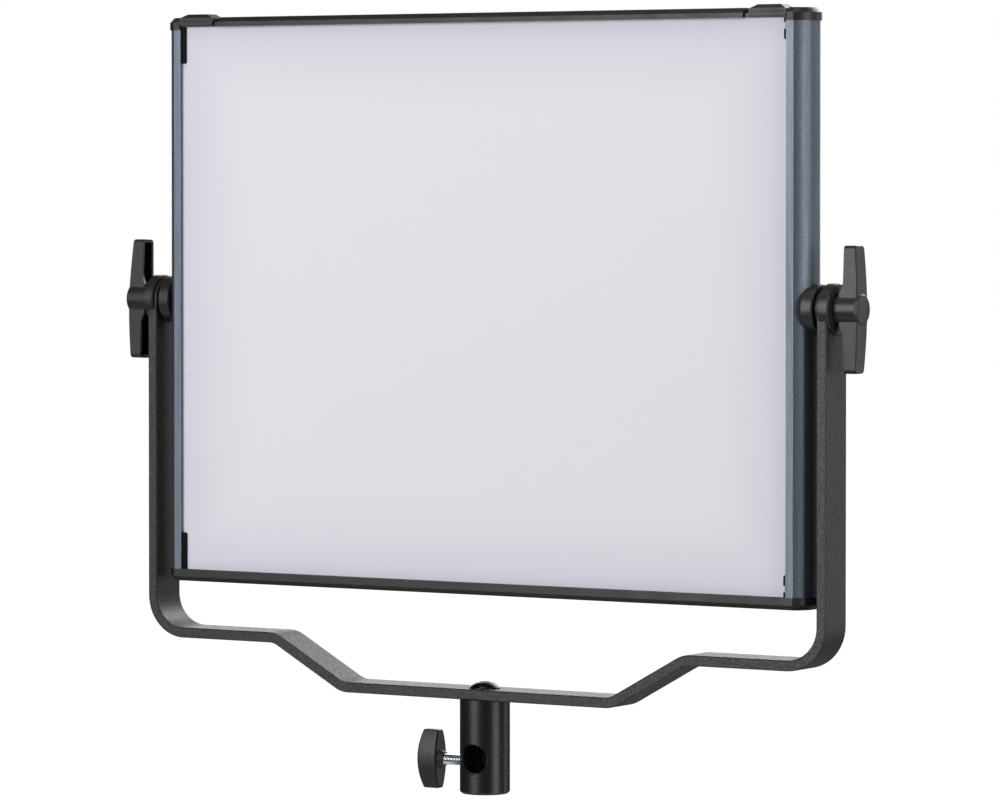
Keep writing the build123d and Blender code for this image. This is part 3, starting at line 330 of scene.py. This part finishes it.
def phosphor(name):
    """Yellow phosphor under a clear gel, as unlit LEDs show."""
    tree = Tree(name)
    clouds = tree.remap(tree.noise(500.0, 2.0), 0.3, 0.7, 0.0, 1.0)
    tree.join(tree.mix(clouds, (0.80, 0.62, 0.10), (0.95, 0.80, 0.22)), "Base Color")
    tree.join(tree.remap(clouds, 0.0, 1.0, 0.2, 0.35), "Roughness")
    tree.join(tree.bump(clouds, 0.02 * MM, 0.4), "Normal")
    tree.set(Coat_Weight=0.4, Coat_Roughness=0.1)
    return tree.material


def circuit_board(name):
    """Green solder mask with darker copper runs showing through."""
    tree = Tree(name)
    runs = tree.nodes.new("ShaderNodeTexBrick")
    runs.inputs["Scale"].default_value = 320.0
    runs.inputs["Mortar Size"].default_value = 0.05
    tree.links.new(tree.scaled((1, 1, 1)), runs.inputs["Vector"])
    share = tree.remap(runs.outputs["Fac"], 0.0, 1.0, 0.15, 0.8)
    tree.join(tree.mix(share, (0.02, 0.13, 0.05), (0.06, 0.27, 0.12)), "Base Color")
    tree.join(tree.remap(tree.noise(200.0, 2.0), 0.3, 0.7, 0.3, 0.45), "Roughness")
    tree.join(tree.bump(share, 0.03 * MM, 0.4), "Normal")
    return tree.material


def smoked_window(name):
    """Smoked acrylic with finger smears, clear enough to show the display."""
    tree = Tree(name)
    smears = tree.remap(tree.noise(70.0, 5.0, 0.7), 0.45, 0.75, 0.03, 0.16)
    tree.join(smears, "Roughness")
    tint = tree.remap(tree.noise(12.0, 2.0), 0.3, 0.7, 0.0, 1.0)
    tree.join(tree.mix(tint, (0.10, 0.11, 0.12), (0.13, 0.14, 0.15)), "Base Color")
    tree.join(tree.bump(tree.noise(40.0, 2.0), 0.01 * MM, 0.2), "Normal")
    tree.set(Alpha=0.35, IOR=1.49)
    return tree.material


def lit_print(name, colour, strength):
    """Ink or display segments, slightly uneven as screen print is."""
    tree = Tree(name)
    patches = tree.remap(tree.noise(900.0, 3.0), 0.3, 0.7, 0.0, 1.0)
    shade = tree.mix(patches, tinted(colour, 0.8), colour)
    tree.join(shade, "Base Color")
    tree.join(shade, "Emission Color")
    tree.join(tree.remap(patches, 0.0, 1.0, 0.4, 0.6), "Roughness")
    tree.set(Emission_Strength=strength)
    return tree.material


FINISHES = {
    "yoke_coat": powder_coat("yoke_coat", (0.022, 0.022, 0.0215), 0.95, 1300.0, 0.42, 0.2),
    "cap_coat": powder_coat("cap_coat", (0.016, 0.016, 0.016), 0.8, 1700.0, 0.32, 0.3),
    "receiver_coat": powder_coat("receiver_coat", (0.007, 0.007, 0.007), 1.0, 1600.0, 0.29, 0.2),
    "rail": anodised("rail", (0.125, 0.145, 0.175), 0.48),
    "trim": moulded_plastic("trim", (0.018, 0.018, 0.018), 2600.0, 0.40, 0.03, 0.1),
    "catch": moulded_plastic("catch", (0.020, 0.020, 0.020), 2500.0, 0.40, 0.03, 0.1),
    "clip": moulded_plastic("clip", (0.0015, 0.002, 0.004), 2600.0, 0.6, 0.02, 0.0, 0.12),
    "handle": moulded_plastic("handle", (0.020, 0.020, 0.020), 3000.0, 0.35, 0.02, 0.5),
    "thumb_knob": moulded_plastic("thumb_knob", (0.026, 0.026, 0.026), 3000.0, 0.36, 0.015, 0.1),
    "housing": moulded_plastic("housing", (0.030, 0.030, 0.031), 1700.0, 0.5, 0.06),
    "back_plate": powder_coat("back_plate", (0.028, 0.028, 0.029), 0.3, 1600.0, 0.5, 0.4),
    "gloss_black": moulded_plastic("gloss_black", (0.012, 0.012, 0.013), 2800.0, 0.16, 0.006, 0.2),
    "button": moulded_plastic("button", (0.14, 0.14, 0.145), 2600.0, 0.45, 0.02, 0.3),
    "control_knob": rubbery("control_knob", (0.022, 0.022, 0.022)),
    "zinc": bare_metal("zinc", (0.80, 0.84, 0.90), 0.14),
    "black_oxide": bare_metal("black_oxide", (0.045, 0.046, 0.052), 0.22, 500.0, (1, 1, 0.1), 0.6),
    "steel": bare_metal("steel", (0.60, 0.61, 0.63), 0.25, 900.0, (1, 0.05, 1)),
    "diffuser": opal_sheet("diffuser"),
    "white": painted_white("white"),
    "nylon": painted_white("nylon", (0.80, 0.79, 0.74)),
    "led": phosphor("led"),
    "board": circuit_board("board"),
    "window": smoked_window("window"),
}

NODE_FINISH = {
    "yoke_bar": "yoke_coat",
    "stand_receiver": "receiver_coat",
    "receiver_bolt": "black_oxide",
    "knuckle_cap_right": "cap_coat",
    "knuckle_cap_left": "cap_coat",
    "pivot_spacer_right": "cap_coat",
    "pivot_spacer_left": "cap_coat",
    "thumb_screw_shank": "zinc",
    "thumb_screw_knob": "thumb_knob",
    "side_rail_right": "rail",
    "side_rail_left": "rail",
    "top_trim": "trim",
    "bottom_trim": "trim",
    "diffuser": "diffuser",
    "reflector_frame": "white",
    "led_board": "white",
    "leds": "led",
    "board_spacers": "nylon",
    "back_plate": "back_plate",
    "back_screws": "black_oxide",
    "pivot_block_right": "zinc",
    "pivot_block_left": "zinc",
    "pivot_screw_right": "zinc",
    "pivot_screw_left": "zinc",
    "tilt_handle_right": "handle",
    "tilt_handle_left": "handle",
    "catch_right": "catch",
    "catch_left": "catch",
    "clip_top_right": "clip",
    "clip_bottom_right": "clip",
    "clip_top_left": "clip",
    "clip_bottom_left": "clip",
    "control_housing": "housing",
    "housing_screws": "black_oxide",
    "display_window": "window",
    "display_module": "gloss_black",
    "control_board": "board",
    "tact_switches": "gloss_black",
    "driver_board": "board",
    "driver_parts": "gloss_black",
    "power_switch_frame": "trim",
    "power_rocker": "gloss_black",
    "dc_inlet": "trim",
    "brightness_encoder": "steel",
    "colour_encoder": "steel",
    "brightness_shaft": "steel",
    "colour_shaft": "steel",
    "brightness_knob": "control_knob",
    "colour_knob": "control_knob",
    "mode_button": "button",
    "memory_button": "button",
    "lock_button": "button",
}


def paint_nodes():
    """Give each CAD node its finish."""
    for node, finish in NODE_FINISH.items():
        data = NODES[node].data
        data.materials.clear()
        data.materials.append(FINISHES[finish])


# ---- pieces with finer detail than the CAD solids ------------------------------------------------
def mesh_piece(name, build, finish, body):
    """New mesh made by build(bmesh), with its finish, riding on a body."""
    data = bpy.data.meshes.new(name)
    work = bmesh.new()
    build(work)
    bmesh.ops.recalc_face_normals(work, faces=work.faces)
    work.to_mesh(data)
    work.free()
    data.materials.append(finish)
    piece = bpy.data.objects.new(name, data)
    SCENE.collection.objects.link(piece)
    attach(piece, body)
    return piece


def prism(work, outline, thickness_axis, low, high):
    """Closed prism over a flat outline of (u, v) pairs; thickness runs along X, Y or Z."""

    def corner(u, v, depth):
        place = {"X": (depth, u, v), "Y": (u, depth, v), "Z": (u, v, depth)}
        return work.verts.new(place[thickness_axis])

    near = [corner(u, v, low) for u, v in outline]
    far = [corner(u, v, high) for u, v in outline]
    work.faces.new(near)
    work.faces.new(list(reversed(far)))
    count = len(outline)
    for i in range(count):
        j = (i + 1) % count
        work.faces.new((near[j], near[i], far[i], far[j]))


def catch_ribs(node, body):
    """Fine grip ribs along the lower front edge of a catch."""
    low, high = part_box(node)
    pitch, height, depth, lean = 0.9 * MM, 1.1 * MM, 0.22 * MM, 0.25 * MM
    start, end = low.x + 1.2 * MM, high.x - 1.0 * MM
    front = low.y + 0.5 * MM
    foot = low.z + 2.0 * MM
    top = foot + height

    def build(work):
        x = start
        while x + pitch < end:
            middle = x + pitch * 0.5
            outline = [(x, foot), (middle, foot), (middle + lean, top), (x + lean, top)]
            prism(work, outline, "Y", front - depth, front + depth)
            x += pitch

    return mesh_piece(node + "_ribs", build, FINISHES["catch"], body)


def ring_sector(centre, inner, outer, start, end, steps=4):
    """Outline of part of a ring, angles in radians."""
    angles = [start + (end - start) * i / steps for i in range(steps + 1)]

    def arc(radius):
        x, z = centre
        return [(x + radius * math.cos(a), z + radius * math.sin(a)) for a in angles]

    return arc(outer) + arc(inner)[::-1]


def node_centre(node):
    """Middle of a node's box as seen from behind or in front: X and Z."""
    low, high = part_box(node)
    return (low.x + high.x) / 2, (low.z + high.z) / 2


def knob_scale(work, centre, skin):
    """Tick marks that grow round a knob, from lower left to lower right."""
    first, last, count, major = math.radians(225), math.radians(-45), 11, 5
    foot, short, tall = 15.4 * MM, 17.2 * MM, 18.4 * MM
    thin, thick = math.radians(1.1), math.radians(1.9)
    for i in range(count):
        angle = first + (last - first) * i / (count - 1)
        reach, spread = (short, thin) if i % major else (tall, thick)
        tick = ring_sector(centre, foot, reach, angle - spread, angle + spread, 1)
        prism(work, tick, "Y", *skin)


# A disc is drawn as a ring with this small a hole, and a full turn stops this far short.
DISC_HOLE = 0.01 * MM
TURN_GAP = 0.01


def sun_print(work, centre, skin):
    """Round spot with eight rays, over the brightness knob."""
    spot, ray_foot, ray_tip, half_ray, rays = 1.5 * MM, 2.2 * MM, 3.2 * MM, 0.09, 8
    prism(work, ring_sector(centre, DISC_HOLE, spot, 0, math.tau - TURN_GAP, 20), "Y", *skin)
    for ray in range(rays):
        angle = math.tau * ray / rays
        outline = ring_sector(centre, ray_foot, ray_tip, angle - half_ray, angle + half_ray, 1)
        prism(work, outline, "Y", *skin)


def half_moon_print(work, centre, skin):
    """Disc that is solid on one side and a rim on the other, over the colour knob."""
    quarter, rim_inner, rim = math.pi / 2, 2.1 * MM, 2.6 * MM
    prism(work, ring_sector(centre, DISC_HOLE, rim, -quarter, quarter, 12), "Y", *skin)
    prism(work, ring_sector(centre, rim_inner, rim, quarter, 3 * quarter, 14), "Y", *skin)


def bar_print(work, x, z, width, height, skin):
    """Rectangle with its lower left corner at x, z."""
    prism(work, [(x, z), (x + width, z), (x + width, z + height), (x, z + height)], "Y", *skin)


def button_print(work, node, count, skin):
    """One to three short bars under a button, to tell the buttons apart."""
    x, z = node_centre(node)
    pitch, gap, below, width, height = 3.0, 0.4 * MM, 8.2 * MM, 2.2 * MM, 0.7 * MM
    for bar in range(count):
        start = x + (bar - count / 2) * pitch * MM + gap
        bar_print(work, start, z - below, width, height, skin)


def power_print(work, centre, skin):
    """Open ring with a stem at its top, beside the power switch."""
    start, end, inner, outer = math.radians(120), math.radians(420), 1.9 * MM, 2.5 * MM
    half_stem, stem_foot, stem_width, stem_height = 0.3 * MM, 0.6 * MM, 0.6 * MM, 2.4 * MM
    x, z = centre
    prism(work, ring_sector(centre, inner, outer, start, end, 18), "Y", *skin)
    bar_print(work, x - half_stem, z + stem_foot, stem_width, stem_height, skin)


def panel_print():
    """White marks on the control panel: knob scales, pictograms and button bars."""
    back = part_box("control_housing")[1].y
    skin = (back - 0.02 * MM, back + 0.06 * MM)
    above_knob, beside_switch = 22.5 * MM, 18 * MM

    def build(work):
        bright, colour = node_centre("brightness_knob"), node_centre("colour_knob")
        knob_scale(work, bright, skin)
        knob_scale(work, colour, skin)
        sun_print(work, (bright[0], bright[1] + above_knob), skin)
        half_moon_print(work, (colour[0], colour[1] + above_knob), skin)
        for count, node in enumerate(("mode_button", "memory_button", "lock_button"), 1):
            button_print(work, node, count, skin)
        x, z = node_centre("power_switch_frame")
        power_print(work, (x - beside_switch, z), skin)

    ink = lit_print("panel_ink", (0.62, 0.62, 0.60), 0.0)
    return mesh_piece("panel_print", build, ink, "head")


def display_segments():
    """Two bar gauges and a double rule on the display, seen through its smoked window."""
    low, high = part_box("display_window")
    skin = (low.y + 0.02 * MM, low.y + 0.12 * MM)
    centre_x, centre_z = node_centre("display_window")
    # In millimetres from the middle of the window.
    gauges = ((5.0, 14), (-6.5, 9))  # row height, segments lit
    left_edge, pitch, bar_width, lowest, growth = -24, 3.4, 2.2, 2.2, 0.28
    rules, rule_width, rule_height = (-14.5, -13.3), 48, 0.35

    def build(work):
        for row, lit in gauges:
            for step in range(lit):
                height = (lowest + growth * step) * MM
                left = centre_x + (left_edge + pitch * step) * MM
                bar_print(work, left, centre_z + row * MM, bar_width * MM, height, skin)
        for z in rules:
            left = centre_x + left_edge * MM
            bar_print(work, left, centre_z + z * MM, rule_width * MM, rule_height * MM, skin)

    glow = lit_print("display_glow", (0.35, 0.75, 0.80), 1.4)
    return mesh_piece("display_segments", build, glow, "head")


def add_details():
    catch_ribs("catch_right", "catch_right")
    catch_ribs("catch_left", "catch_left")
    panel_print()
    display_segments()


# ---- floor, backdrop and light -------------------------------------------------------------------
def add_floor():
    """Pale floor well below the stand socket; it looks white to the camera and lights little."""
    data = bpy.data.meshes.new("floor")
    work = bmesh.new()
    bmesh.ops.create_circle(work, cap_ends=True, segments=64, radius=FLOOR_RADIUS)
    work.to_mesh(data)
    work.free()
    floor = bpy.data.objects.new("floor", data)
    floor.location = (0, 0, FLOOR_Z)
    SCENE.collection.objects.link(floor)
    tree = Tree("floor_paper")
    tree.join(tree.mix(tree.noise(3.0, 2.0), (0.80, 0.80, 0.80), (0.84, 0.84, 0.84)), "Base Color")
    tree.set(Roughness=0.9, Emission_Color=(1, 1, 1, 1))
    tree.join(tree.nodes.new("ShaderNodeLightPath").outputs["Is Camera Ray"], "Emission Strength")
    data.materials.append(tree.material)


def add_world():
    """White to the camera, dim to everything else, so that dark finishes keep their depth."""
    world = bpy.data.worlds.new("studio")
    SCENE.world = world
    world.use_nodes = True
    nodes, links = world.node_tree.nodes, world.node_tree.links
    background = nodes["Background"]
    background.inputs["Color"].default_value = (1.0, 1.0, 1.0, 1.0)
    seen = nodes.new("ShaderNodeLightPath").outputs["Is Camera Ray"]
    level = nodes.new("ShaderNodeMapRange")
    level.inputs["To Min"].default_value = WORLD_FILL
    level.inputs["To Max"].default_value = 1.0
    links.new(seen, level.inputs["Value"])
    links.new(level.outputs["Result"], background.inputs["Strength"])


def add_softboxes():
    """Area lights around the tilt axis, each turned to face it and unseen by the camera."""
    for name, (azimuth, elevation, distance, width, height, watts) in SOFTBOXES.items():
        data = bpy.data.lights.new(name, "AREA")
        data.shape = "RECTANGLE"
        data.size = width
        data.size_y = height
        data.energy = watts
        light = bpy.data.objects.new(name, data)
        towards = direction(math.radians(azimuth), math.radians(elevation))
        light.location = TILT_AXIS + towards * distance
        light.rotation_euler = (-towards).to_track_quat("-Z", "Y").to_euler()
        light.visible_camera = False
        SCENE.collection.objects.link(light)


add_camera()
paint_nodes()
add_details()
add_floor()
add_world()
add_softboxes()
SCENE.view_settings.view_transform = "Standard"
